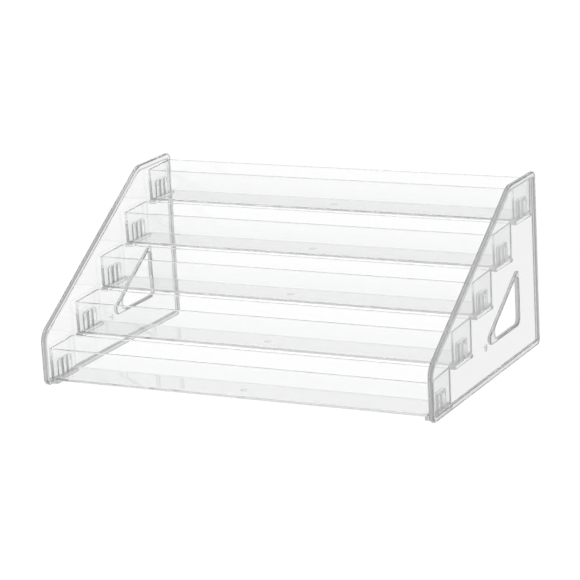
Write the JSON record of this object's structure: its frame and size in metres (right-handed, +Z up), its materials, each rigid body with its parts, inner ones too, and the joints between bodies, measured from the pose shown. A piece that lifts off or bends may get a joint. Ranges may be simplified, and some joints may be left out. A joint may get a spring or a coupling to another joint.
{
  "type": "nail polish rack",
  "caption": "Stepped clear plastic counter rack: long open bottle trays rise like stairs between two slanted side panels with triangular hand holes.",
  "frame": {"origin": "on the resting surface, under the middle of the rack's overall box", "axes": "+X along the trays to the right hand panel, -Y towards the low front that faces the user, +Z up"},
  "size_m": [0.34, 0.222, 0.145],
  "materials": {
    "clear_panel": "clear colourless polystyrene, polished moulding",
    "clear_tray": "clear colourless polystyrene, polished moulding"
  },
  "bodies": {
    "frame": {"side_panel_left": "clear_panel", "side_panel_right": "clear_panel"},
    "tray_1_body": {"tray_1": "clear_tray"},
    "tray_2_body": {"tray_2": "clear_tray"},
    "tray_3_body": {"tray_3": "clear_tray"},
    "tray_4_body": {"tray_4": "clear_tray"},
    "tray_5_body": {"tray_5": "clear_tray"}
  },
  "joints": [
    {"name": "tray_1_lift", "type": "slide", "parent": "frame", "child": "tray_1_body", "axis": [0, 0, 1], "range_m": [0, 0.03]},
    {"name": "tray_2_lift", "type": "slide", "parent": "frame", "child": "tray_2_body", "axis": [0, 0, 1], "range_m": [0, 0.03]},
    {"name": "tray_3_lift", "type": "slide", "parent": "frame", "child": "tray_3_body", "axis": [0, 0, 1], "range_m": [0, 0.03]},
    {"name": "tray_4_lift", "type": "slide", "parent": "frame", "child": "tray_4_body", "axis": [0, 0, 1], "range_m": [0, 0.03]},
    {"name": "tray_5_lift", "type": "slide", "parent": "frame", "child": "tray_5_body", "axis": [0, 0, 1], "range_m": [0, 0.03]}
  ]
}
